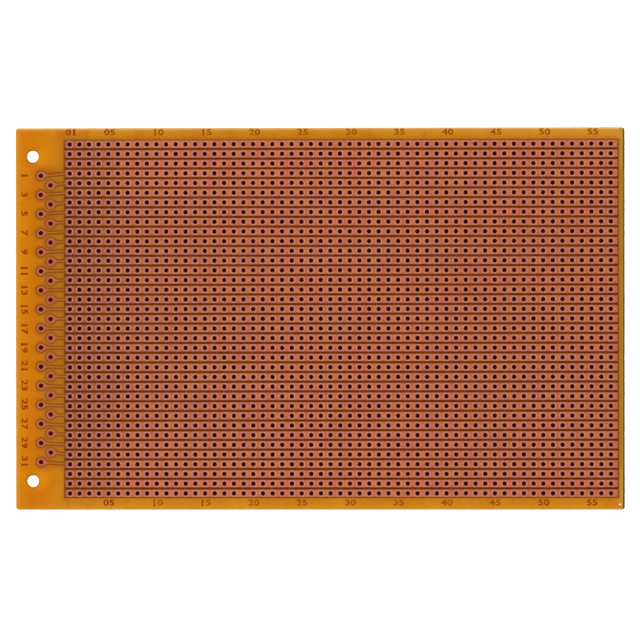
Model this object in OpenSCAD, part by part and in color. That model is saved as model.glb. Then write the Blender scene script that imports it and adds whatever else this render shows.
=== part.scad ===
// Prototype board of single Eurocard size. A sheet of punched hard-paper laminate carries
// parallel copper strips on one side. At one end most strips run on as thin tracks to the
// staggered pads of a two-row connector, which two fixing holes hold down.
// The board lies flat, copper side up: X runs along it with the connector end at -X, Y across it,
// and the origin is the middle of its underside. All sizes are in millimetres.

/* [Board] */
// Length of the board
board_l = 160; // [130:1:220]
// Width of the board
board_w = 100; // [92:1:150]
// Thickness of the laminate
board_t = 1.5; // [0.8:0.1:3.2]
// Radius of the four corners
corner_r = 0.7; // [0.2:0.1:3]

/* [Hole grid] */
// Distance from one lead hole to the next
pitch = 2.54; // [2.5, 2.54]
// Bore of the lead holes
lead_hole_d = 1.0; // [0.8:0.05:1.3]
// First column of holes, measured from the connector end
first_column = 14.24; // [13.5:0.01:20]
// Least distance from the last column to the far end
end_margin = 3.3; // [2.6:0.1:8]
// Least distance from the outermost strips' holes to the long edges
side_margin = 4; // [2:0.1:8]

/* [Copper] */
// Thickness of the copper foil
copper_t = 0.035; // [0.035, 0.07, 0.105]
// Depth to which the foil's rough side is pressed into the laminate
foil_key = 0.01; // [0.005:0.005:0.02]
// Width of a copper strip
strip_w = 2.0; // [1.6:0.05:2.2]
// Reach of a strip before its first hole
strip_lead = 1.35; // [0.9:0.05:2]
// Reach of a strip past its last hole
strip_tail = 1.9; // [0.9:0.05:2.2]
// Width of the tracks between the pads and the strips
track_w = 0.5; // [0.3:0.05:0.8]

/* [Connector] */
// Number of contacts, in two staggered rows
contacts = 31; // [13, 21, 31]
// Distance from one contact to the next along the board's end
contact_pitch = 2.5; // [2.5, 2.54]
// Row of the odd contacts, measured from the connector end
odd_row = 6.63; // [6:0.01:7]
// Distance from the odd contacts' row to the even contacts' row
row_gap = 2.54; // [2.4:0.01:3]
// Bore of the contact holes
contact_hole_d = 1.0; // [0.8:0.05:1.3]
// Diameter of the copper pads
pad_d = 2.1; // [1.7:0.05:2.3]
// Reach of a pad's teardrop along its track, from the middle of the pad
teardrop_l = 1.75; // [1.4:0.05:2.2]
// Bore of the two fixing holes
fixing_hole_d = 3.0; // [2.5:0.1:3.3]
// Fixing holes, measured from the connector end
fixing_inset = 4.5; // [4:0.1:6]
// Distance from the last contact at each side to the fixing hole beyond it
fixing_reach = 5; // [5:0.1:6]

/* [Hidden] */
$fn = 32;
board_colour = [0.76, 0.49, 0.12];
copper_colour = [0.74, 0.42, 0.31];
// Overrun of a punch past both faces of the laminate
overrun = 1;

// The grid fills the board from its first column on, with one strip on the board's centre line
columns = floor((board_l - first_column - end_margin) / pitch) + 1;
half_rows = floor((board_w / 2 - side_margin) / pitch);
rows = 2 * half_rows + 1;
connector_end = -board_l / 2;
grid_x = connector_end + first_column;
strip_x = grid_x - strip_lead;
strip_l = strip_lead + (columns - 1) * pitch + strip_tail;

// A narrow board takes no more contacts than it has strips. The strips left over are shared out
// at both sides in whole strips, so contact 1 meets the strip that comes after this many.
used_contacts = min(floor(contacts), rows);
spare_strips = floor((rows - used_contacts) / 2);
odd_x = connector_end + odd_row;
even_x = odd_x + row_gap;
fixing_spacing = (used_contacts - 1) * contact_pitch + 2 * fixing_reach;

// Places of the grid and of the contacts, counted from the top left as the copper side shows them
function column_x(column) = grid_x + (column - 1) * pitch;
function strip_y(strip) = (half_rows + 1 - strip) * pitch;
function contact_x(contact) = contact % 2 == 1 ? odd_x : even_x;
function contact_y(contact) = ((used_contacts + 1) / 2 - contact) * contact_pitch;
function contact_of(strip) = strip - spare_strips;
function has_contact(strip) = contact_of(strip) >= 1 && contact_of(strip) <= used_contacts;
function strip_name(strip) = str("copper_strip_", strip < 10 ? "0" : "", strip);

// A rectangle about the origin with true arcs at its corners
module rounded_rectangle(length, width, radius) {
    square([length - 2 * radius, width], center = true);
    square([length, width - 2 * radius], center = true);
    for (x = [-1, 1], y = [-1, 1])
        translate([x * (length / 2 - radius), y * (width / 2 - radius)]) circle(r = radius);
}

// A round hole through the laminate at one place
module punch(x, y, d) {
    translate([x, y, -overrun]) cylinder(d = d, h = board_t + 2 * overrun);
}

// A wedge that touches the pad's rim as a tangent and narrows to the track, pointing along X
module teardrop() {
    tip = [teardrop_l, track_w / 2];
    touch_angle = atan2(tip.y, tip.x) + acos(pad_d / 2 / norm(tip));
    touch = pad_d / 2 * [cos(touch_angle), sin(touch_angle)];
    polygon([[0, 0], [touch.x, -touch.y], [tip.x, -tip.y], tip, touch]);
}

// The pad of one contact with its teardrop, and the straight track from it into its strip
module contact_track(contact, strip) {
    pad = [contact_x(contact), contact_y(contact)];
    reach = [grid_x, strip_y(strip)] - pad;
    translate(pad) circle(d = pad_d);
    translate(pad) rotate(atan2(reach.y, reach.x)) {
        teardrop();
        translate([0, -track_w / 2]) square([norm(reach), track_w]);
    }
}

// The outline of one conductor: a strip, and the track and pad of its contact where it has one
module conductor_outline(strip) {
    translate([strip_x, strip_y(strip) - strip_w / 2]) square([strip_l, strip_w]);
    if (has_contact(strip)) contact_track(contact_of(strip), strip);
}

// The laminate, with a shallow bed under each conductor and all holes punched through
module board() {
    color(board_colour) difference() {
        linear_extrude(board_t) rounded_rectangle(board_l, board_w, corner_r);
        for (strip = [1:rows])
            translate([0, 0, board_t - foil_key]) linear_extrude(copper_t) conductor_outline(strip);
        for (strip = [1:rows], column = [1:columns])
            punch(column_x(column), strip_y(strip), lead_hole_d);
        for (contact = [1:used_contacts])
            punch(contact_x(contact), contact_y(contact), contact_hole_d);
        for (side = [-1, 1])
            punch(connector_end + fixing_inset, side * fixing_spacing / 2, fixing_hole_d);
    }
}

// One conductor of copper foil with its lead holes, and its contact's hole where it has one
module copper_strip(strip) {
    contact = contact_of(strip);
    color(copper_colour) translate([0, 0, board_t - foil_key]) linear_extrude(copper_t) difference() {
        conductor_outline(strip);
        for (column = [1:columns])
            translate([column_x(column), strip_y(strip)]) circle(d = lead_hole_d);
        if (has_contact(strip))
            translate([contact_x(contact), contact_y(contact)]) circle(d = contact_hole_d);
    }
}

board();
for (strip = [1:rows])
    copper_strip(strip);
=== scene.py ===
# %% [markdown]
# # A punched prototype board
# The real object is a sheet of amber hard paper, 160 mm by 100 mm, with copper foil on one side.
# The foil is etched into 37 parallel strips, and punches have made 2109 small holes through both.
# At the left end, thin tracks fan out to the round pads of a two-row connector. This lesson builds
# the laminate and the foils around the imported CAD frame, and gives them their finish.

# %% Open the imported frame
import math

import bmesh
import bpy
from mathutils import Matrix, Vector


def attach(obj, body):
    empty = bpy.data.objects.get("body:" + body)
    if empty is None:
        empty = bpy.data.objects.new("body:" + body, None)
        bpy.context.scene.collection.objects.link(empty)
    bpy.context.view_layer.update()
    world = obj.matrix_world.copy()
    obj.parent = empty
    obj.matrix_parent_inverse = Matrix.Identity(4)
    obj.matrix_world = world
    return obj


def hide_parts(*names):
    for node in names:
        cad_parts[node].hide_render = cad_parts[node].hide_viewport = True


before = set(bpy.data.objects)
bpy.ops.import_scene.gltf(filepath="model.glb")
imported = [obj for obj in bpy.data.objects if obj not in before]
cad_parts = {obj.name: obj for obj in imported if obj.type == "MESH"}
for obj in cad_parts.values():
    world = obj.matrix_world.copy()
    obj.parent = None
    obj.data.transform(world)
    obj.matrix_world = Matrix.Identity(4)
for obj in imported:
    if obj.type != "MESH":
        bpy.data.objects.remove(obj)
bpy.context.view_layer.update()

# %% [markdown]
# ## Sizes
# All sizes are the CAD model's own, turned into metres. Blender does not change the object: each
# piece lies where the solid that it replaces lies, so the same few numbers place everything.

# %% Sizes of the board
MM = 0.001
BOARD_L, BOARD_W, BOARD_T = 160 * MM, 100 * MM, 1.5 * MM
CORNER_R = 0.7 * MM
PITCH = 2.54 * MM
LEAD_HOLE_R = 0.5 * MM
COLUMNS, ROWS = 57, 37
GRID_X = -BOARD_L / 2 + 14.24 * MM
GRID_END = GRID_X + (COLUMNS - 1) * PITCH
TOP_ROW_Y = (ROWS - 1) / 2 * PITCH

# %% Sizes of the copper
FOIL_TOP = 1.525 * MM
STRIP_W = 2.0 * MM
STRIP_X0 = GRID_X - 1.35 * MM
STRIP_X1 = GRID_END + 1.9 * MM
TRACK_W = 0.5 * MM
CONTACTS = 31
CONTACT_PITCH = 2.5 * MM
ODD_X = -BOARD_L / 2 + 6.63 * MM
EVEN_X = ODD_X + 2.54 * MM
PAD_R = 1.05 * MM
TEARDROP_L = 1.75 * MM
FIXING_R = 1.5 * MM
FIXING_X = -BOARD_L / 2 + 4.5 * MM
FIXING_Y = 42.5 * MM
SPARE_STRIPS = (ROWS - CONTACTS) // 2
# The outermost odd and even contacts, counted in contact pitches from the middle of the board
LAST_ODD = (CONTACTS - 1) / 2
LAST_EVEN = LAST_ODD - 1

# %% Fineness of round shapes and small allowances for modelling
HOLE_SIDES = 16
CONTACT_SIDES = 24
PAD_SIDES = 48
PUNCH_L = 4 * MM
THINNER = 0.001 * MM
# The teardrop starts a little inside the pad's rim, and the track ends short of the strip's hole
TEARDROP_INSET = 0.985
TRACK_STOP = 1.0 * MM


# %% Places of strips and contacts
def strip_y(strip):
    """Middle line of a strip, counted from the top edge."""
    return TOP_ROW_Y - (strip - 1) * PITCH


def contact_place(contact):
    """Middle of a contact's pad: odd contacts lie in the outer row."""
    x = ODD_X if contact % 2 else EVEN_X
    return Vector((x, ((CONTACTS + 1) / 2 - contact) * CONTACT_PITCH, 0))


print("grid from", GRID_X / MM, "to", round(GRID_END / MM, 2), "mm")

# %% [markdown]
# ## Tools for modelling
# Operators act on whatever is selected, so every step starts by clearing the selection. Faces,
# edges and vertices are picked in code, by their place, the way a hand would pick them by eye.


# %% Helpers for selecting and finishing
# Points closer than this count as one place. A weld after a boolean is ten times finer.
SAME_PLACE = 0.002 * MM
WELD = 0.0002 * MM
# Faces that meet at a smaller angle than this are shaded as one
SHARP = math.radians(35)


def clear_selection():
    if bpy.context.object and bpy.context.object.mode != "OBJECT":
        bpy.ops.object.mode_set(mode="OBJECT")
    bpy.ops.object.select_all(action="DESELECT")


def make_active(piece):
    """Selects one piece alone and makes it the one that operators act on."""
    clear_selection()
    piece.select_set(True)
    bpy.context.view_layer.objects.active = piece


def work_on(piece):
    """Opens one piece for editing, with nothing picked."""
    make_active(piece)
    bpy.ops.object.mode_set(mode="EDIT")
    bpy.ops.mesh.select_mode(type="VERT")
    bpy.ops.mesh.select_all(action="DESELECT")


def pick(piece, wanted):
    """Picks the vertices for which wanted(place) is true, and the edges and faces between them."""
    mesh = bmesh.from_edit_mesh(piece.data)
    for vertex in mesh.verts:
        vertex.select_set(wanted(vertex.co))
    mesh.select_flush_mode()
    bmesh.update_edit_mesh(piece.data)


def pick_faces(piece, wanted):
    """Picks the faces for which wanted(centre, normal) is true."""
    bpy.ops.mesh.select_mode(type="FACE")
    bpy.ops.mesh.select_all(action="DESELECT")
    mesh = bmesh.from_edit_mesh(piece.data)
    mesh.normal_update()
    for face in mesh.faces:
        face.select_set(wanted(face.calc_center_median(), face.normal))
    bmesh.update_edit_mesh(piece.data)


def slide(x=0.0, y=0.0, z=0.0):
    """Extrudes what is picked and moves the new part."""
    bpy.ops.mesh.extrude_region_move(TRANSFORM_OT_translate={"value": (x, y, z)})


def put_away(piece):
    """Leaves edit mode and bakes the place and size of the piece into its mesh."""
    make_active(piece)
    bpy.ops.object.transform_apply(location=True, rotation=True, scale=True)
    return piece


def apply_modifier(piece, kind, **settings):
    """Adds one modifier, sets it up and applies it."""
    make_active(piece)
    modifier = piece.modifiers.new(kind.title(), kind)
    for name, value in settings.items():
        setattr(modifier, name, value)
    bpy.ops.object.modifier_apply(modifier=modifier.name)


def repeat(piece, count, step):
    """Repeats a piece and welds each copy to the one before."""
    apply_modifier(
        piece,
        "ARRAY",
        count=count,
        use_relative_offset=False,
        use_constant_offset=True,
        constant_offset_displace=step,
        use_merge_vertices=True,
        merge_threshold=SAME_PLACE,
    )


def cut(piece, tool, operation="DIFFERENCE"):
    """Cuts or joins with a second solid, which is used up."""
    apply_modifier(piece, "BOOLEAN", operation=operation, object=tool, solver="EXACT")
    bpy.data.objects.remove(tool)


def outward(piece):
    """Welds a piece, drops faces left inside it and turns the others outwards."""
    work_on(piece)
    bpy.ops.mesh.select_all(action="SELECT")
    bpy.ops.mesh.remove_doubles(threshold=WELD)
    bpy.ops.mesh.select_mode(type="FACE")
    bpy.ops.mesh.select_all(action="DESELECT")
    bpy.ops.mesh.select_interior_faces()
    bpy.ops.mesh.delete(type="FACE")
    bpy.ops.mesh.select_all(action="SELECT")
    bpy.ops.mesh.normals_make_consistent(inside=False)
    bpy.ops.object.mode_set(mode="OBJECT")
    return piece


def smooth(piece):
    """Shades a piece smooth, but leaves the sharp bends sharp."""
    make_active(piece)
    bpy.ops.object.shade_smooth_by_angle(angle=SHARP)


def dress(piece, material):
    """Gives a piece one material in place of any others."""
    piece.data.materials.clear()
    piece.data.materials.append(material)


def near(a, b):
    return abs(a - b) < SAME_PLACE


# %% [markdown]
# ## The laminate
# A press punches each hole with a round pin. One square cell with its hole is modelled first: a
# circle inside a square, filled and pulled down through the thickness. Array modifiers repeat it
# 57 by 37 times, which keeps neighbours welded and the mesh even. One big boolean with two thousand
# pins would also work, but it leaves long slivers between the holes.


# %% One cell of the laminate
def laminate_cell():
    clear_selection()
    middle = (GRID_X, TOP_ROW_Y, BOARD_T)
    bpy.ops.mesh.primitive_circle_add(
        vertices=HOLE_SIDES, radius=LEAD_HOLE_R, location=middle
    )
    cell = bpy.context.object
    work_on(cell)
    bpy.ops.mesh.primitive_plane_add(size=PITCH, location=middle)
    bpy.ops.mesh.delete(type="ONLY_FACE")
    bpy.ops.mesh.select_all(action="SELECT")
    bpy.ops.mesh.fill(use_beauty=True)
    slide(z=-BOARD_T)
    half = PITCH / 2
    pick_faces(
        cell,
        lambda centre, normal: abs(normal.z) < 0.5
        and (near(abs(centre.x), half) or near(abs(centre.y), half)),
    )
    bpy.ops.mesh.delete(type="FACE")
    return put_away(cell)


laminate = laminate_cell()
laminate.name = "laminate"
print("one cell has", len(laminate.data.polygons), "faces")

# %% [markdown]
# The field of cells is then carried out to the board's edges: the open border at each side is
# extruded over the margin, the two open rims are bridged into side walls, and the four upright
# corner edges are rounded with a bevel.

# %% The whole sheet
repeat(laminate, COLUMNS, (PITCH, 0, 0))
repeat(laminate, ROWS, (0, -PITCH, 0))
field_left, field_right = GRID_X - PITCH / 2, GRID_END + PITCH / 2
field_top = TOP_ROW_Y + PITCH / 2
work_on(laminate)
pick(laminate, lambda place: near(place.x, field_left))
slide(x=-BOARD_L / 2 - field_left)
pick(laminate, lambda place: near(place.x, field_right))
slide(x=BOARD_L / 2 - field_right)
pick(laminate, lambda place: near(place.y, field_top))
slide(y=BOARD_W / 2 - field_top)
pick(laminate, lambda place: near(place.y, -field_top))
slide(y=field_top - BOARD_W / 2)
bpy.ops.mesh.select_all(action="DESELECT")
bpy.ops.mesh.select_non_manifold()
bpy.ops.mesh.bridge_edge_loops()
bpy.ops.mesh.select_mode(type="EDGE")
bpy.ops.mesh.select_all(action="DESELECT")
sheet = bmesh.from_edit_mesh(laminate.data)
for edge in sheet.edges:
    first, second = (vertex.co for vertex in edge.verts)
    upright = near(first.x, second.x) and near(first.y, second.y)
    corner = near(abs(first.x), BOARD_L / 2) and near(abs(first.y), BOARD_W / 2)
    edge.select_set(upright and corner)
bmesh.update_edit_mesh(laminate.data)
bpy.ops.mesh.bevel(offset=CORNER_R, segments=4, affect="EDGES")
outward(laminate)
print("the sheet has", len(laminate.data.polygons), "faces")


# %% The holes of the connector
def pin(x, y, radius, sides):
    """A round punch that reaches through the laminate."""
    clear_selection()
    bpy.ops.mesh.primitive_cylinder_add(
        vertices=sides, radius=radius, depth=PUNCH_L, location=(x, y, BOARD_T / 2)
    )
    return put_away(bpy.context.object)


def joined(pieces):
    """Joins several objects into the first one."""
    clear_selection()
    for piece in pieces:
        piece.select_set(True)
    bpy.context.view_layer.objects.active = pieces[0]
    bpy.ops.object.join()
    return pieces[0]


pins = [pin(*contact_place(c).xy, LEAD_HOLE_R, HOLE_SIDES) for c in range(1, CONTACTS + 1)]
pins += [pin(FIXING_X, side * FIXING_Y, FIXING_R, PAD_SIDES) for side in (-1, 1)]
cut(laminate, joined(pins))
outward(laminate)
smooth(laminate)
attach(laminate, "root")
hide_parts("board")
print("the punched sheet has", len(laminate.data.polygons), "faces")

# %% [markdown]
# ## The copper foils
# A punch drags the soft copper a little way into the hole and leaves a flat ring round it. So the
# cell of a foil gets three loops round its hole: the rim, drawn down, a ring that stands very
# slightly proud, and the flat foil outside. The cell is repeated along X only, and the strip's two
# ends are pulled out to length.


# %% One cell of a strip
LIP = ((0.50 * MM, -0.012 * MM), (0.60 * MM, 0.006 * MM), (0.95 * MM, 0.0))


def foil_cell():
    clear_selection()
    middle = (GRID_X, 0, FOIL_TOP + LIP[0][1])
    bpy.ops.mesh.primitive_circle_add(vertices=HOLE_SIDES, radius=LIP[0][0], location=middle)
    cell = bpy.context.object
    work_on(cell)
    bpy.ops.mesh.select_all(action="SELECT")
    slide(z=BOARD_T - middle[2])
    pick(cell, lambda place: near(place.z, 0))
    for (radius, height), (next_radius, next_height) in zip(LIP, LIP[1:]):
        slide(z=next_height - height)
        ratio = next_radius / radius
        bpy.ops.transform.resize(value=(ratio, ratio, 1), center_override=middle)
    return cell, middle


def close_cell(cell, middle):
    """Fills from the ring to the cell's border on top, and from the hole to it underneath."""
    half_l, half_w = PITCH / 2, STRIP_W / 2
    for height in (FOIL_TOP, BOARD_T):
        place = (middle[0], middle[1], height)
        bpy.ops.mesh.select_all(action="DESELECT")
        bpy.ops.mesh.primitive_plane_add(size=1, location=place)
        bpy.ops.transform.resize(value=(PITCH, STRIP_W, 1), center_override=place)
        bpy.ops.mesh.delete(type="ONLY_FACE")
        level = height - middle[2]
        pick(cell, lambda point, level=level: near(point.z, level))
        bpy.ops.mesh.fill(use_beauty=True)
    for side in (-1, 1):
        pick(
            cell,
            lambda point, side=side: near(point.y, side * half_w)
            and near(abs(point.x), half_l),
        )
        bpy.ops.mesh.edge_face_add()


cell, cell_middle = foil_cell()
close_cell(cell, cell_middle)
foil_strip = put_away(cell)
print("one foil cell has", len(foil_strip.data.polygons), "faces")

# %% One whole strip
repeat(foil_strip, COLUMNS, (PITCH, 0, 0))
work_on(foil_strip)
for edge_x, end_x in ((field_left, STRIP_X0), (field_right, STRIP_X1)):
    pick(foil_strip, lambda place, edge_x=edge_x: near(place.x, edge_x))
    slide(x=end_x - edge_x)
    pick(foil_strip, lambda place, end_x=end_x: near(place.x, end_x))
    bpy.ops.mesh.edge_face_add()
outward(foil_strip)
print("one strip has", len(foil_strip.data.polygons), "faces")


# %% [markdown]
# A track starts at its pad and runs straight towards the first hole of its strip. The pad is a
# short cylinder, the teardrop a block whose far end is pinched, and the track a thin block.
# Boolean modifiers melt the three together, punch the contact's hole and join the result to the
# strip. Each is a thousandth of a millimetre thinner at both faces than the one before, because
# faces that lie in exactly one plane can confuse a boolean.


# %% Pad, teardrop and track
FOIL_MIDDLE = (FOIL_TOP + BOARD_T) / 2


def foil_height(step):
    """The foil's thickness, less a thousandth of a millimetre at both faces for each step."""
    return FOIL_TOP - BOARD_T - 2 * step * THINNER


def block(length, width, start, step):
    """A flat block nearly as thick as the foil, which starts at the given distance along +X."""
    clear_selection()
    middle = (start + length / 2, 0, FOIL_MIDDLE)
    bpy.ops.mesh.primitive_cube_add(size=1, location=middle)
    bpy.context.object.scale = (length, width, foil_height(step))
    return put_away(bpy.context.object)


def teardrop_touch():
    """Where the upper side of the teardrop touches the pad's rim, as a tangent."""
    far = Vector((TEARDROP_L, TRACK_W / 2))
    angle = math.atan2(far.y, far.x) + math.acos(PAD_R / far.length)
    return Vector((PAD_R * math.cos(angle), PAD_R * math.sin(angle)))


def teardrop():
    """A wedge that touches the pad's rim and narrows to the track's width."""
    touch = teardrop_touch() * TEARDROP_INSET
    wedge = block(TEARDROP_L - touch.x, 2 * touch.y, touch.x, 2)
    work_on(wedge)
    pick(wedge, lambda place: near(place.x, TEARDROP_L))
    pinch = TRACK_W / 2 / touch.y
    bpy.ops.transform.resize(value=(1, pinch, 1), center_override=(0, 0, BOARD_T))
    return put_away(wedge)


def fan_out(contact, strip):
    """Pad, teardrop and track of one contact as one solid, turned towards its strip."""
    place = contact_place(contact)
    reach = Vector((GRID_X, strip_y(strip), 0)) - place
    clear_selection()
    middle = (0, 0, FOIL_MIDDLE)
    bpy.ops.mesh.primitive_cylinder_add(
        vertices=PAD_SIDES, radius=PAD_R, depth=foil_height(1), location=middle
    )
    pad = put_away(bpy.context.object)
    cut(pad, teardrop(), "UNION")
    length = reach.length - TRACK_STOP - LEAD_HOLE_R
    cut(pad, block(length, TRACK_W, LEAD_HOLE_R, 3), "UNION")
    cut(pad, pin(0, 0, LEAD_HOLE_R, CONTACT_SIDES))
    pad.rotation_euler.z = math.atan2(reach.y, reach.x)
    pad.location = place
    return put_away(pad)


# %% All foils
foils = []
for strip in range(1, ROWS + 1):
    foil = foil_strip.copy()
    foil.data = foil_strip.data.copy()
    bpy.context.collection.objects.link(foil)
    foil.name = f"foil_{strip:02d}"
    foil.location.y = strip_y(strip)
    put_away(foil)
    contact = strip - SPARE_STRIPS
    if 1 <= contact <= CONTACTS:
        cut(foil, fan_out(contact, strip), "UNION")
        outward(foil)
    foils.append(foil)
    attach(foil, "root")
    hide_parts(f"copper_strip_{strip:02d}")
bpy.data.objects.remove(foil_strip)
for foil in foils:
    smooth(foil)
print(len(foils), "foils, the first with", len(foils[0].data.polygons), "faces")

# %% [markdown]
# ## Finish
# The patterns on this board are all measured from its holes and its copper: a pale ring round each
# punched hole, and painted shade that darkens the laminate towards copper, where no light gets in.
# So two node groups work out those distances, in millimetres, from Object coordinates. Each is
# built once.


# %% A small calculator for node trees
class Sums:
    """Adds math nodes to a node tree and returns their output sockets."""

    def __init__(self, tree):
        self.tree = tree

    def node(self, kind, **settings):
        made = self.tree.nodes.new(kind)
        for name, value in settings.items():
            setattr(made, name, value)
        return made

    def feed(self, socket, value):
        if isinstance(value, bpy.types.NodeSocket):
            self.tree.links.new(value, socket)
        else:
            socket.default_value = value

    def calc(self, operation, *values):
        made = self.node("ShaderNodeMath", operation=operation)
        for socket, value in zip(made.inputs, values):
            self.feed(socket, value)
        return made.outputs[0]

    def lowest(self, first, *others):
        for other in others:
            first = self.calc("MINIMUM", first, other)
        return first

    def length(self, x, y):
        squares = self.calc("MULTIPLY_ADD", x, x, self.calc("MULTIPLY", y, y))
        return self.calc("SQRT", squares)

    def held(self, value, low, high):
        return self.calc("MINIMUM", self.calc("MAXIMUM", value, low), high)

    def ramp(self, value, low, high, start=0.0, end=1.0):
        """A smooth step from start at low to end at high."""
        made = self.node("ShaderNodeMapRange", interpolation_type="SMOOTHSTEP")
        for name, number in zip(
            ("Value", "From Min", "From Max", "To Min", "To Max"),
            (value, low, high, start, end),
        ):
            self.feed(made.inputs[name], number)
        return made.outputs["Result"]

    def fade(self, distance, reach):
        """One at no distance, falling off with the given reach."""
        return self.calc("EXPONENT", self.calc("DIVIDE", distance, -reach))

    def mix(self, share, first, second):
        """The first colour, with a share of the second mixed in."""
        made = self.node("ShaderNodeMix", data_type="RGBA")
        # The node's colours are inputs 6 and 7 and output 2, beside others for plain numbers
        self.feed(made.inputs[0], share)
        self.feed(made.inputs[6], first)
        self.feed(made.inputs[7], second)
        return made.outputs[2]

    def noise(self, vector, scale, detail=2.0, roughness=0.5):
        """Cloudy noise with the given number of features to a metre."""
        made = self.node("ShaderNodeTexNoise")
        self.feed(made.inputs["Vector"], vector)
        made.inputs["Scale"].default_value = scale
        made.inputs["Detail"].default_value = detail
        made.inputs["Roughness"].default_value = roughness
        return made.outputs["Fac"]

    def parts(self, vector):
        """The X, Y and Z of a vector."""
        made = self.node("ShaderNodeSeparateXYZ")
        self.feed(made.inputs[0], vector)
        return made.outputs

    def stretched(self, vector, scale):
        """The place multiplied along each axis, which makes a pattern finer along it."""
        made = self.node("ShaderNodeMapping")
        self.feed(made.inputs["Vector"], vector)
        made.inputs["Scale"].default_value = scale
        return made.outputs[0]

    def relief(self, height, strength, depth):
        """The normal of a surface with shallow relief."""
        made = self.node("ShaderNodeBump")
        made.inputs["Strength"].default_value = strength
        made.inputs["Distance"].default_value = depth
        self.feed(made.inputs["Height"], height)
        return made.outputs[0]


# The lamps are this much brighter than a white sheet needs, so the board's short shadow stays white
LIGHT = 1.5


def colour(red, green, blue):
    """A colour as it looks under the lamps, from 0 to 255, turned into the surface's own colour."""
    parts = []
    for part in (red, green, blue):
        part /= 255
        part = part / 12.92 if part <= 0.04045 else ((part + 0.055) / 1.055) ** 2.4
        parts.append(part / LIGHT)
    return (*parts, 1.0)


# %% [markdown]
# The first group measures from the holes. A coordinate divided by the pitch and rounded gives the
# nearest column and row, and what is left over is the way to the middle of that hole.


# %% Group: distance from the nearest hole
def new_group(name, outputs):
    """An empty node group, its calculator, the place in millimetres, and sockets for results."""
    tree = bpy.data.node_groups.new(name, "ShaderNodeTree")
    tree.interface.new_socket("Place", in_out="INPUT", socket_type="NodeSocketVector")
    for output in outputs:
        tree.interface.new_socket(output, in_out="OUTPUT", socket_type="NodeSocketFloat")
    sums = Sums(tree)
    inside = sums.node("NodeGroupInput")
    outside = sums.node("NodeGroupOutput")
    in_mm = sums.node("ShaderNodeVectorMath", operation="SCALE")
    tree.links.new(inside.outputs["Place"], in_mm.inputs[0])
    in_mm.inputs["Scale"].default_value = 1 / MM
    return tree, sums, sums.parts(in_mm.outputs[0]), outside.inputs


def to_row(sums, y, spacing, odd, last):
    """Distance across to the nearest of the rows at odd or even multiples of the spacing."""
    steps = sums.calc("DIVIDE", y, spacing)
    shift = 1.0 if odd else 0.0
    halves = sums.calc("DIVIDE", sums.calc("SUBTRACT", steps, shift), 2.0)
    nearest = sums.calc("MULTIPLY_ADD", sums.calc("ROUND", halves), 2.0, shift)
    nearest = sums.held(nearest, -last, last)
    return sums.calc("SUBTRACT", y, sums.calc("MULTIPLY", nearest, spacing))


def hole_distance_group():
    tree, sums, place, result = new_group("hole distance", ("Lead", "Contact"))
    x, y = place["X"], place["Y"]
    along = sums.calc("SUBTRACT", x, GRID_X / MM)
    column = sums.calc("ROUND", sums.calc("DIVIDE", along, PITCH / MM))
    column = sums.held(column, 0.0, COLUMNS - 1.0)
    row = sums.calc("ROUND", sums.calc("DIVIDE", y, PITCH / MM))
    row = sums.held(row, -(ROWS - 1) / 2, (ROWS - 1) / 2)
    lead = sums.length(
        sums.calc("MULTIPLY_ADD", column, -PITCH / MM, along),
        sums.calc("MULTIPLY_ADD", row, -PITCH / MM, y),
    )
    odd = sums.length(
        sums.calc("SUBTRACT", x, ODD_X / MM),
        to_row(sums, y, CONTACT_PITCH / MM, True, LAST_ODD),
    )
    even = sums.length(
        sums.calc("SUBTRACT", x, EVEN_X / MM),
        to_row(sums, y, CONTACT_PITCH / MM, False, LAST_EVEN),
    )
    tree.links.new(lead, result["Lead"])
    tree.links.new(sums.lowest(odd, even), result["Contact"])
    return tree


hole_distance = hole_distance_group()
print("hole distance:", len(hole_distance.nodes), "nodes")

# %% [markdown]
# The second group measures from the edge of the copper, below zero inside it. The tracks start
# 2.5 mm apart at the pads and end 2.54 mm apart at the strips, so their spacing is worked out for
# each place along the board, and next to its pad a track is as wide as its teardrop.


# %% Group: distance from the edge of the copper
def to_pad(sums, x, y, start, odd, last):
    """Distance from the rim of the nearest pad of one row, whose middle line is at x = start."""
    middle = sums.length(
        sums.calc("SUBTRACT", x, start), to_row(sums, y, CONTACT_PITCH / MM, odd, last)
    )
    return sums.calc("SUBTRACT", middle, PAD_R / MM)


def to_track(sums, x, y, start, odd, last):
    """Distance from the side of the nearest track that starts in one row of pads."""
    part = sums.calc("DIVIDE", sums.calc("SUBTRACT", x, start), GRID_X / MM - start)
    part = sums.held(part, 0.0, 1.0)
    change = (PITCH - CONTACT_PITCH) / MM
    spacing = sums.calc("MULTIPLY_ADD", part, change, CONTACT_PITCH / MM)
    across = sums.calc("ABSOLUTE", to_row(sums, y, spacing, odd, last))
    touch = teardrop_touch() / MM
    tip_x, tip_y = TEARDROP_L / MM, TRACK_W / MM / 2
    slope = (touch.y - tip_y) / (touch.x - tip_x)
    half = sums.calc("MULTIPLY_ADD", sums.calc("SUBTRACT", x, start + tip_x), slope, tip_y)
    half = sums.held(half, tip_y, touch.y)
    before = sums.calc("SUBTRACT", start, x)
    after = sums.calc("SUBTRACT", x, STRIP_X0 / MM)
    along = sums.calc("MAXIMUM", before, after)
    return sums.calc("MAXIMUM", sums.calc("SUBTRACT", across, half), along)


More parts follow.
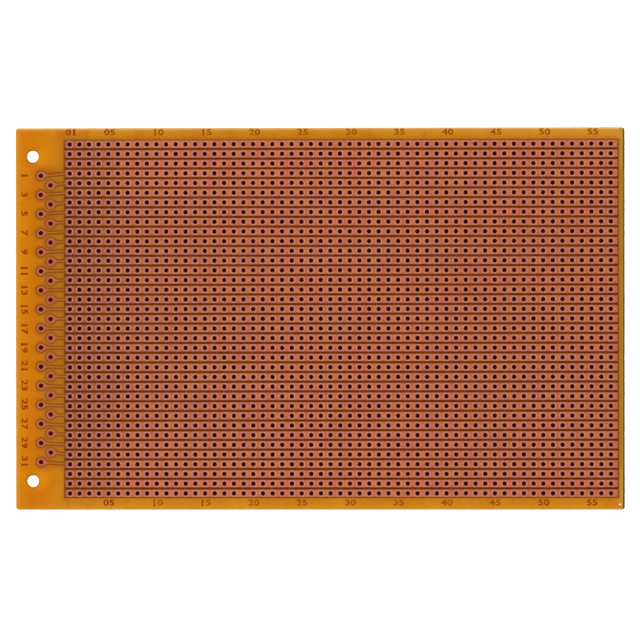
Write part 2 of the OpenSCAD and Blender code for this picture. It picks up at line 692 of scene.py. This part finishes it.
def copper_edge_group():
    tree, sums, place, result = new_group("copper edge", ("Edge", "Field"))
    x, y = place["X"], place["Y"]
    row = sums.calc("ROUND", sums.calc("DIVIDE", y, PITCH / MM))
    row = sums.held(row, -(ROWS - 1) / 2, (ROWS - 1) / 2)
    across = sums.calc("ABSOLUTE", sums.calc("MULTIPLY_ADD", row, -PITCH / MM, y))
    across = sums.calc("SUBTRACT", across, STRIP_W / MM / 2)
    before = sums.calc("SUBTRACT", STRIP_X0 / MM, x)
    after = sums.calc("SUBTRACT", x, STRIP_X1 / MM)
    along = sums.calc("MAXIMUM", before, after)
    edges = [sums.calc("MAXIMUM", across, along)]
    for start, odd, last in ((ODD_X / MM, True, LAST_ODD), (EVEN_X / MM, False, LAST_EVEN)):
        edges.append(to_track(sums, x, y, start, odd, last))
        edges.append(to_pad(sums, x, y, start, odd, last))
    inside_x = sums.ramp(along, 0.0, 0.1, 1.0, 0.0)
    edge_y = (TOP_ROW_Y + STRIP_W / 2) / MM
    inside_y = sums.ramp(sums.calc("ABSOLUTE", y), edge_y, edge_y + 0.1, 1.0, 0.0)
    tree.links.new(sums.lowest(*edges), result["Edge"])
    tree.links.new(sums.calc("MULTIPLY", inside_x, inside_y), result["Field"])
    return tree


copper_edge = copper_edge_group()
print("copper edge:", len(copper_edge.nodes), "nodes")


# %% Start of a material
def new_material(name):
    """A Principled material, its calculator, and sockets for the place on the object."""
    material = bpy.data.materials.new(name)
    material.use_nodes = True
    sums = Sums(material.node_tree)
    shader = material.node_tree.nodes["Principled BSDF"]
    place = sums.node("ShaderNodeTexCoord").outputs["Object"]
    return material, sums, shader, place


def use_group(sums, tree, place):
    """Places a group in a material and returns what it puts out."""
    made = sums.node("ShaderNodeGroup", node_tree=tree)
    sums.feed(made.inputs["Place"], place)
    return made.outputs


# %% [markdown]
# ## Amber hard paper
# Phenolic resin soaks sheets of paper, and the pressed sheet is amber and slightly see-through.
# Light that enters at a cut edge makes the edge glow, and beside copper it is darker; both are
# painted into the colour as light and shade. Faint fibres and cloudy patches come from the paper.
# The component side is paler, with a crushed ring round each hole. The walls of the small holes
# are dark with painted shade, and those of the fixing holes pale with painted light.


# %% Distances for single places
def fixing_distance(sums, x, y):
    """Distance from the middle of the nearer fixing hole."""
    beside = sums.calc("SUBTRACT", sums.calc("ABSOLUTE", y), FIXING_Y)
    return sums.length(sums.calc("SUBTRACT", x, FIXING_X), beside)


def spot(sums, x, y, middle, size, turn=0.0):
    """Distance from a place in millimetres, measured in half widths of a turned ellipse."""
    right = sums.calc("SUBTRACT", sums.calc("DIVIDE", x, MM), middle[0])
    up = sums.calc("SUBTRACT", sums.calc("DIVIDE", y, MM), middle[1])
    cosine, sine = math.cos(turn), math.sin(turn)
    along = sums.calc("MULTIPLY_ADD", right, cosine, sums.calc("MULTIPLY", up, sine))
    beside = sums.calc("MULTIPLY_ADD", up, cosine, sums.calc("MULTIPLY", right, -sine))
    return sums.length(sums.calc("DIVIDE", along, size[0]), sums.calc("DIVIDE", beside, size[1]))


# %% Cloudy amber
def cloudy_amber(sums, place, x, y):
    """The plain copper side, redder at the connector end and with reddish blushes."""
    clouds = sums.ramp(sums.noise(place, 160.0, 3.0), 0.3, 0.7)
    at_end = sums.ramp(x, -74 * MM, -66 * MM, 1.0, 0.0)
    deep = sums.mix(at_end, colour(206, 129, 18), colour(207, 119, 4))
    light = sums.mix(at_end, colour(212, 139, 24), colour(213, 126, 5))
    face = sums.mix(clouds, deep, light)
    # Most of the blushes are drawn out across the board, and two lie near the first number
    drawn_out = sums.noise(sums.stretched(place, (260.0, 90.0, 90.0)), 1.0, 2.0)
    blush = sums.ramp(drawn_out, 0.55, 0.75, 0.0, 0.4)
    for middle, size in (((-67.0, 48.6), (2.2, 1.8)), ((-61.3, 48.4), (0.9, 1.8))):
        share = sums.ramp(spot(sums, x, y, middle, size), 0.2, 1.0, 0.5, 0.0)
        blush = sums.calc("MAXIMUM", blush, share)
    return sums.mix(blush, face, colour(206, 92, 10))


# %% Tones along the cut edges
def edge_tones(sums, face, x, y):
    """Adds the painted glow of the cut edges, the duller far end and a painted shadow along its
    edge.
    """
    # Painted light: a narrow glow that is weaker at -Y, and a wide one at the connector end
    side_x = sums.calc("SUBTRACT", BOARD_L / 2, sums.calc("ABSOLUTE", x))
    side_y = sums.calc("SUBTRACT", BOARD_W / 2, sums.calc("ABSOLUTE", y))
    edge = sums.calc("DIVIDE", sums.calc("MINIMUM", side_x, side_y), MM)
    strength = sums.ramp(y, -49.5 * MM, -49 * MM, 0.4, 0.8)
    painted_edge_glow = sums.calc("MULTIPLY", sums.fade(edge, 0.5), strength)
    face = sums.mix(painted_edge_glow, face, colour(230, 176, 70))
    painted_wide_glow = sums.fade(sums.calc("ADD", sums.calc("DIVIDE", x, MM), BOARD_L / 2 / MM), 1.4)
    face = sums.mix(sums.calc("MULTIPLY", painted_wide_glow, 0.5), face, colour(228, 150, 8))
    # The margin at +Y is paler towards the far end and palest at its edge. The far end is dull
    towards_end = sums.ramp(x, 0.0, 80 * MM, 0.0, 0.6)
    far_top = sums.calc("MULTIPLY", towards_end, sums.ramp(y, 46 * MM, 48 * MM))
    face = sums.mix(far_top, face, colour(226, 158, 50))
    rim = sums.ramp(y, 49.45 * MM, 49.75 * MM, 0.0, 0.5)
    face = sums.mix(rim, face, colour(246, 214, 150))
    dull = sums.ramp(x, 78.0 * MM, 79.0 * MM, 0.0, 0.65)
    face = sums.mix(dull, face, colour(190, 148, 60))
    # Light round the fixing holes, and a dark line of painted shadow along the far end
    near_hole = spot(sums, x, sums.calc("ABSOLUTE", y), (-73.5, 42.0), (3.0, 3.5))
    face = sums.mix(sums.ramp(near_hole, 0.3, 1.0, 0.7, 0.0), face, colour(228, 142, 14))
    far_end_shadow = sums.ramp(x, 79.55 * MM, 79.72 * MM, 0.0, 0.95)
    return sums.mix(far_end_shadow, face, colour(50, 36, 12))


# %% Tones beside the copper
def copper_tones(sums, face, x, y, holes, copper):
    """Painted shade: darkens the laminate beside strips, tracks and pads, and most between the
    strips.
    """
    away = sums.calc("MAXIMUM", copper["Edge"], 0.0)
    shade = sums.calc("MULTIPLY", sums.fade(away, 1.2), sums.ramp(y, -45 * MM, 45 * MM, 0.4, 0.7))
    shade = sums.calc("MULTIPLY", shade, sums.ramp(x, 77.5 * MM, 78.2 * MM, 1.0, 0.6))
    face = sums.mix(shade, face, colour(140, 84, 20))
    # Painted shade among the pads and tracks at the connector end
    shade_among_pads = sums.calc(
        "MULTIPLY",
        sums.ramp(x, -73.5 * MM, -71.5 * MM),
        sums.ramp(sums.calc("ABSOLUTE", y), 38.5 * MM, 40.5 * MM, 1.0, 0.0),
    )
    face = sums.mix(sums.calc("MULTIPLY", shade_among_pads, 0.4), face, colour(146, 94, 20))
    # A narrow line of painted shade right beside the copper
    face = sums.mix(sums.ramp(away, 0.05, 0.45, 0.8, 0.0), face, colour(122, 56, 8))
    # Painted shade round the pads, a little wider round the even ones, and a pinkish band at their
    # rim
    wider = sums.ramp(x, -72.2 * MM, -72.0 * MM, 0.0, 0.15)
    radius = sums.calc("SUBTRACT", holes["Contact"], wider)
    face = sums.mix(sums.ramp(radius, 1.3, 1.9, 0.5, 0.0), face, colour(136, 72, 16))
    face = sums.mix(sums.ramp(radius, 1.1, 1.2, 0.75, 0.0), face, colour(176, 100, 52))
    # Painted shade is darkest between the strips
    return sums.mix(copper["Field"], face, colour(98, 38, 4))


# %% Tones round the fixing holes
def fixing_tones(sums, face, x, y):
    """A pale lip of painted highlight round each fixing hole, and outside it a brown ring of
    painted shade, strongest at the left.
    """
    distance = fixing_distance(sums, x, y)
    strength = sums.ramp(x, FIXING_X - MM, FIXING_X + 1.5 * MM, 0.8, 0.3)
    # Painted shade: the brown ring
    ring = sums.calc("MULTIPLY", sums.ramp(distance, 1.8 * MM, 2.0 * MM, 1.0, 0.0), strength)
    face = sums.mix(ring, face, colour(128, 78, 22))
    # Painted highlight: the pale lip
    painted_rim_highlight = sums.ramp(distance, 1.56 * MM, 1.65 * MM, 0.9, 0.0)
    return sums.mix(painted_rim_highlight, face, colour(246, 206, 108))


# %% The component side and the walls
def component_side(sums, place, holes):
    """Paler, with a crushed ring round each hole."""
    clouds = sums.ramp(sums.noise(place, 160.0, 3.0), 0.3, 0.7)
    under = sums.mix(clouds, colour(186, 125, 52), colour(204, 135, 58))
    ring_in = sums.ramp(holes["Lead"], 0.5, 0.65)
    ring_out = sums.ramp(holes["Lead"], 0.8, 1.0, 1.0, 0.0)
    ring = sums.calc("MULTIPLY", ring_in, ring_out)
    return sums.mix(sums.calc("MULTIPLY", ring, 0.7), under, colour(224, 168, 108))


def sheared_walls(sums, x, y, holes):
    """Brown sides, nearly black walls of painted shade in the small holes and pale ones of painted
    light in the fixing holes.
    """
    # Painted shade darkens the walls of the small holes
    walls = sums.ramp(sums.calc("MINIMUM", holes["Lead"], holes["Contact"]), 0.55, 0.6)
    walls = sums.mix(walls, colour(60, 8, 0), colour(104, 66, 26))
    # Painted light makes the walls of the fixing holes pale
    painted_fixing_light = sums.ramp(fixing_distance(sums, x, y), 1.6 * MM, 1.7 * MM, 1.0, 0.0)
    walls = sums.mix(painted_fixing_light, walls, colour(240, 196, 112))
    # Painted shade on the side at the far end
    far_end_wall_shade = sums.ramp(x, BOARD_L / 2 - 0.1 * MM, BOARD_L / 2 - 0.02 * MM)
    return sums.mix(far_end_wall_shade, walls, colour(44, 34, 14))


# %% The laminate's material
def laminate_material():
    material, sums, shader, place = new_material("amber hard paper")
    holes = use_group(sums, hole_distance, place)
    copper = use_group(sums, copper_edge, place)
    x, y, z = sums.parts(place)
    face = cloudy_amber(sums, place, x, y)
    face = edge_tones(sums, face, x, y)
    face = copper_tones(sums, face, x, y, holes, copper)
    face = fixing_tones(sums, face, x, y)
    # Fibres of the paper, seen through the resin
    fibres = sums.noise(sums.stretched(place, (350.0, 1500.0, 1500.0)), 1.0, 4.0, 0.6)
    face = sums.mix(sums.ramp(fibres, 0.35, 0.65, 0.0, 0.14), face, colour(178, 92, 16))
    # A small pale spot near one corner
    pale_spot = spot(sums, x, y, (78.82, -48.64), (0.42, 0.17), math.radians(28))
    face = sums.mix(sums.ramp(pale_spot, 0.7, 1.1, 1.0, 0.0), face, colour(255, 246, 190))
    # The component side below, the walls between, and the copper side on top
    under = component_side(sums, place, holes)
    walls = sheared_walls(sums, x, y, holes)
    skin = sums.mix(sums.ramp(z, 0.01 * MM, 0.03 * MM), under, walls)
    skin = sums.mix(sums.ramp(z, 1.47 * MM, 1.49 * MM), skin, face)
    sums.feed(shader.inputs["Base Color"], skin)
    shader.inputs["Roughness"].default_value = 0.2
    shader.inputs["Specular IOR Level"].default_value = 0.12
    sums.feed(shader.inputs["Normal"], sums.relief(fibres, 0.15, 0.02 * MM))
    return material


dress(laminate, laminate_material())
print("laminate finished")

# %% [markdown]
# ## Lacquered copper
# The foil is brushed clean before it is lacquered, so it shines softly and never like a mirror.
# Punching leaves a paler ring round each hole. Handling and heat tint the strips in patches from
# pink to orange.


# %% Tints of the foil
def foil_tints(sums, place, x, y):
    """Patches of pink, orange and mauve, darker in the middle and towards the connector end."""
    tint = sums.ramp(sums.noise(place, 420.0, 3.0), 0.35, 0.65)
    face = sums.mix(tint, colour(188, 95, 69), colour(191, 110, 66))
    mauve = sums.ramp(sums.noise(place, 250.0, 2.0), 0.52, 0.7, 0.0, 0.5)
    face = sums.mix(mauve, face, colour(173, 94, 74))
    middle = sums.ramp(sums.calc("ABSOLUTE", y), 25 * MM, 42 * MM, 1.0, 0.0)
    middle = sums.calc("MULTIPLY", middle, sums.ramp(x, -45 * MM, 0.0, 0.2, 0.1))
    share = sums.calc("ADD", middle, sums.ramp(x, -76 * MM, -38 * MM, 0.65, 0.0))
    share = sums.calc("MULTIPLY", share, sums.ramp(x, -69 * MM, -68 * MM, 0.4, 1.0))
    return sums.mix(share, face, colour(128, 69, 34))


# %% Tones of the foil's ends and holes
def end_tones(sums, face, x, holes):
    """Browner tracks and far ends, and the paler ring that punching leaves round each hole."""
    radius = sums.calc("MINIMUM", holes["Lead"], holes["Contact"])
    # The ring is hardly seen on the pads
    ring_in = sums.ramp(radius, 0.5, 0.7)
    ring_out = sums.ramp(radius, 0.8, 1.1, 1.0, 0.0)
    ring = sums.calc("MULTIPLY", ring_in, ring_out)
    ring = sums.calc("MULTIPLY", ring, sums.ramp(x, -69 * MM, -68 * MM, 0.2, 0.6))
    face = sums.mix(ring, face, colour(204, 134, 114))
    # The tracks are so thin that the etch has taken their pink
    thin = sums.ramp(x, STRIP_X0 - 0.05 * MM, STRIP_X0, 0.85, 0.0)
    thin = sums.calc("MULTIPLY", thin, sums.ramp(holes["Contact"], 1.05, 1.5))
    face = sums.mix(thin, face, colour(176, 96, 12))
    # The far ends of the strips are brown
    ends = sums.ramp(x, STRIP_X1 - 0.45 * MM, STRIP_X1 - 0.05 * MM, 0.0, 0.75)
    return sums.mix(ends, face, colour(150, 82, 12))


def rim_tones(sums, face, y, holes, copper):
    """Painted shade: dark rims of the holes and, weaker on pads and at +Y, the dark etched edge."""
    # Painted shade round the holes
    rim = sums.ramp(holes["Lead"], 0.57, 0.67, 0.95, 0.0)
    rim = sums.calc("MAXIMUM", rim, sums.ramp(holes["Contact"], 0.58, 0.7, 0.95, 0.0))
    face = sums.mix(rim, face, colour(58, 6, 0))
    # Painted shade along the etched edge, weaker on pads and at +Y
    inside = sums.ramp(copper["Edge"], -0.13, -0.04, 0.0, 0.9)
    inside = sums.calc("MULTIPLY", inside, sums.ramp(holes["Contact"], 1.1, 1.3, 0.5, 1.0))
    row = sums.calc("DIVIDE", y, PITCH)
    above = sums.calc("SUBTRACT", row, sums.calc("ROUND", row))
    inside = sums.calc("MULTIPLY", inside, sums.ramp(above, -0.1, 0.1, 1.0, 0.3))
    return sums.mix(inside, face, colour(118, 55, 3))


# %% The copper's material
def copper_material():
    material, sums, shader, place = new_material("lacquered copper")
    holes = use_group(sums, hole_distance, place)
    copper = use_group(sums, copper_edge, place)
    x, y, _ = sums.parts(place)
    face = foil_tints(sums, place, x, y)
    face = end_tones(sums, face, x, holes)
    face = rim_tones(sums, face, y, holes, copper)
    sums.feed(shader.inputs["Base Color"], face)
    shader.inputs["Metallic"].default_value = 0.35
    shader.inputs["Specular IOR Level"].default_value = 0.15
    # Fine lines along the strips, left by the brush
    lines = sums.noise(sums.stretched(place, (600.0, 6000.0, 600.0)), 1.0, 3.0, 0.6)
    sums.feed(shader.inputs["Roughness"], sums.ramp(lines, 0.3, 0.7, 0.38, 0.55))
    sums.feed(shader.inputs["Normal"], sums.relief(lines, 0.2, 0.01 * MM))
    return material


copper_finish = copper_material()
for foil in foils:
    dress(foil, copper_finish)
print("copper finished")

# %% [markdown]
# ## Numbers
# Thin etched numbers count the columns along both long edges and the contacts at the end. Blender's
# own font is close to the plotter letters of such films. Each digit is a text, made a mesh and
# laid on the laminate.


# %% One digit
DIGIT_SIZE = 2.2 * MM
DIGIT_STRETCH = 1.34
DIGIT_STEP = 1.54 * MM
DIGIT_RISE = 0.006 * MM
FOOT = Vector((0.7 * MM, 0.24 * MM, 0.011 * MM))
FOOT_Y = -0.7 * MM
# The strokes are a little bolder than the font's, and those of a 1 most of all
BOLD, BOLD_ONE = 0.065 * MM, 0.09 * MM


def digit(sign, x):
    """One digit, lying on the board and centred at x. A 1 stands on a short bar."""
    clear_selection()
    bpy.ops.object.text_add(location=(x, 0, BOARD_T))
    label = bpy.context.object
    label.data.body = sign
    label.data.size = DIGIT_SIZE
    label.data.align_x = "CENTER"
    label.data.align_y = "CENTER"
    label.data.offset = BOLD_ONE if sign == "1" else BOLD
    label.data.extrude = DIGIT_RISE
    label.data.resolution_u = 3
    label.scale.x = DIGIT_STRETCH
    bpy.ops.object.convert(target="MESH")
    parts = [put_away(bpy.context.object)]
    if sign == "1":
        clear_selection()
        bpy.ops.mesh.primitive_cube_add(size=1, location=(x, FOOT_Y, BOARD_T))
        bpy.context.object.scale = FOOT
        parts.append(put_away(bpy.context.object))
    return parts


# %% Numbers along the edges
def number(text, x, y, turn=0.0):
    """The digits of a number side by side, turned and moved to their place."""
    first = -(len(text) - 1) / 2
    parts = []
    for step, sign in enumerate(text):
        parts.extend(digit(sign, (first + step) * DIGIT_STEP))
    whole = joined(parts)
    whole.rotation_euler.z = turn
    whole.location = (x, y, 0)
    return put_away(whole)


TOP_LINE = BOARD_W / 2 - 1.2 * MM
BOTTOM_LINE = -BOARD_W / 2 + 1.8 * MM
END_LINE = -BOARD_L / 2 + 2.22 * MM
labels = []
for column in (1, *range(5, COLUMNS, 5)):
    text = f"{column:02d}"
    x = GRID_X + (column - 1) * PITCH
    labels.append(number(text, x + 0.4 * MM, TOP_LINE))
    if column > 1:
        labels.append(number(text, x + 0.1 * MM, BOTTOM_LINE))
for contact in range(1, CONTACTS + 1, 2):
    y = contact_place(contact).y + 0.1 * MM
    labels.append(number(str(contact), END_LINE, y, turn=-math.pi / 2))
numbers = joined(labels)
numbers.name = "numbers"
outward(numbers)
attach(numbers, "root")
print("numbers have", len(numbers.data.polygons), "faces")


# %% The numbers' material
def number_material():
    material, sums, shader, place = new_material("etched numbers")
    worn = sums.ramp(sums.noise(place, 900.0, 2.0), 0.3, 0.7)
    tint = sums.mix(worn, colour(134, 50, 0), colour(160, 68, 0))
    # Paler along the edges from the eighth column on, apart from the last ones at -Y
    x, y, _ = sums.parts(place)
    at_bottom = sums.ramp(y, -1 * MM, 1 * MM, 0.8, 0.0)
    kept = sums.calc("MULTIPLY", sums.ramp(x, 50 * MM, 57 * MM), at_bottom)
    pale = sums.ramp(x, -58 * MM, -50 * MM)
    pale = sums.calc("MULTIPLY", pale, sums.calc("SUBTRACT", 1.0, kept))
    tint = sums.mix(pale, tint, sums.mix(worn, colour(146, 74, 3), colour(166, 92, 4)))
    sums.feed(shader.inputs["Base Color"], tint)
    shader.inputs["Roughness"].default_value = 0.3
    shader.inputs["Specular IOR Level"].default_value = 0.04
    return material


dress(numbers, number_material())
print("numbers finished")

# %% [markdown]
# ## Floor, light and camera
# The board lies on a white, faintly glowing table, which shows through the two fixing holes. A
# dark red card under the punched field paints the shade in the small holes and keeps them dark.
# Four lamps stand round the board, the strongest at the connector end. The camera looks down from
# far away with a long lens, leaning five degrees towards the far end.

# %% Floor
# Floor and card lie a little below the board, so that no two faces share a plane
FLOOR_Z, CARD_Z = -0.2 * MM, -0.1 * MM
clear_selection()
bpy.ops.mesh.primitive_plane_add(size=6, location=(0, 0, FLOOR_Z))
floor = bpy.context.object
floor.name = "floor"
floor_material, _, floor_shader, _ = new_material("white table")
floor_shader.inputs["Base Color"].default_value = (0.95, 0.95, 0.95, 1)
floor_shader.inputs["Emission Color"].default_value = (1, 1, 1, 1)
floor_shader.inputs["Emission Strength"].default_value = 0.4
floor_shader.inputs["Roughness"].default_value = 0.9
dress(floor, floor_material)

# %% Card of painted shade under the punched field
clear_selection()
# The card starts just past the fixing holes, so the table shows through them
card_left, card_right, card_side = -73.95 * MM, 79 * MM, 49 * MM
card_middle = ((card_left + card_right) / 2, 0, CARD_Z)
bpy.ops.mesh.primitive_plane_add(size=1, location=card_middle)
hole_shade_card = bpy.context.object
hole_shade_card.name = "hole_shade_card"
hole_shade_card.scale = (card_right - card_left, 2 * card_side, 1)
# The card is painted shade for the small holes, with a faint painted glow
hole_shade_card_material, card_sums, card_shader, card_place = new_material("dark red card")
card_shader.inputs["Base Color"].default_value = (0.5, 0.004, 0.001, 1)
card_shader.inputs["Emission Color"].default_value = (1, 0, 0, 1)
# Painted light: the card glows a little more under the pads, whose holes are redder than the
# strips'
card_x = card_sums.parts(card_place)["X"]
painted_glow_under_pads = card_sums.ramp(card_x, -69 * MM, -68 * MM, 0.065, 0.018)
card_sums.feed(card_shader.inputs["Emission Strength"], painted_glow_under_pads)
card_shader.inputs["Roughness"].default_value = 0.9
card_shader.inputs["Specular IOR Level"].default_value = 0.05
dress(hole_shade_card, hole_shade_card_material)
put_away(hole_shade_card)
print("floor and card are laid")


# %% Lamps
LAMP_HEIGHT = math.radians(58)
LAMP_SIZE, LAMP_DISTANCE = 0.3, 1.2


def lamp(name, azimuth, power):
    """A square soft lamp that looks down at the board from a compass direction."""
    a, e = math.radians(azimuth), LAMP_HEIGHT
    place = Vector((math.cos(a) * math.cos(e), math.sin(a) * math.cos(e), math.sin(e)))
    data = bpy.data.lights.new(name, "AREA")
    data.shape = "SQUARE"
    data.size = LAMP_SIZE
    data.energy = power
    made = bpy.data.objects.new(name, data)
    bpy.context.collection.objects.link(made)
    made.location = place * LAMP_DISTANCE
    made.rotation_euler = place.to_track_quat("Z", "Y").to_euler()
    made.visible_camera = False
    return made


lamp("key lamp", 180, 8.0)
lamp("fill lamp", 0, 4.2)
lamp("far lamp", 90, 6.0)
lamp("near lamp", 270, 6.0)
world = bpy.context.scene.world or bpy.data.worlds.new("studio")
bpy.context.scene.world = world
world.use_nodes = True
background = world.node_tree.nodes["Background"]
background.inputs["Color"].default_value = (1, 1, 1, 1)
background.inputs["Strength"].default_value = 0.1
bpy.context.scene.view_settings.view_transform = "Standard"
print("four lamps and a faint white surround")

# %% Camera
LENS = 1400.0
SENSOR = 36.0
LEAN = math.radians(5.4)
TURN = math.radians(-0.055)
# The photograph is 640 pixels wide, 3.82 to a millimetre
FRAME_W = 640 / 3.82 * MM
camera_data = bpy.data.cameras.new("camera")
camera_data.lens = LENS
camera_data.sensor_width = SENSOR
camera_data.clip_end = 50
camera = bpy.data.objects.new("camera", camera_data)
bpy.context.collection.objects.link(camera)
bpy.context.scene.camera = camera
distance = FRAME_W * LENS / SENSOR
aim = Vector((0.07 * MM, -0.34 * MM, BOARD_T))
sideways = math.sin(LEAN)
outwards = Vector((sideways * math.cos(TURN), sideways * math.sin(TURN), math.cos(LEAN)))
camera.location = aim + distance * outwards
camera.rotation_euler = (0, LEAN, TURN)
print("camera", round(distance, 2), "m away")
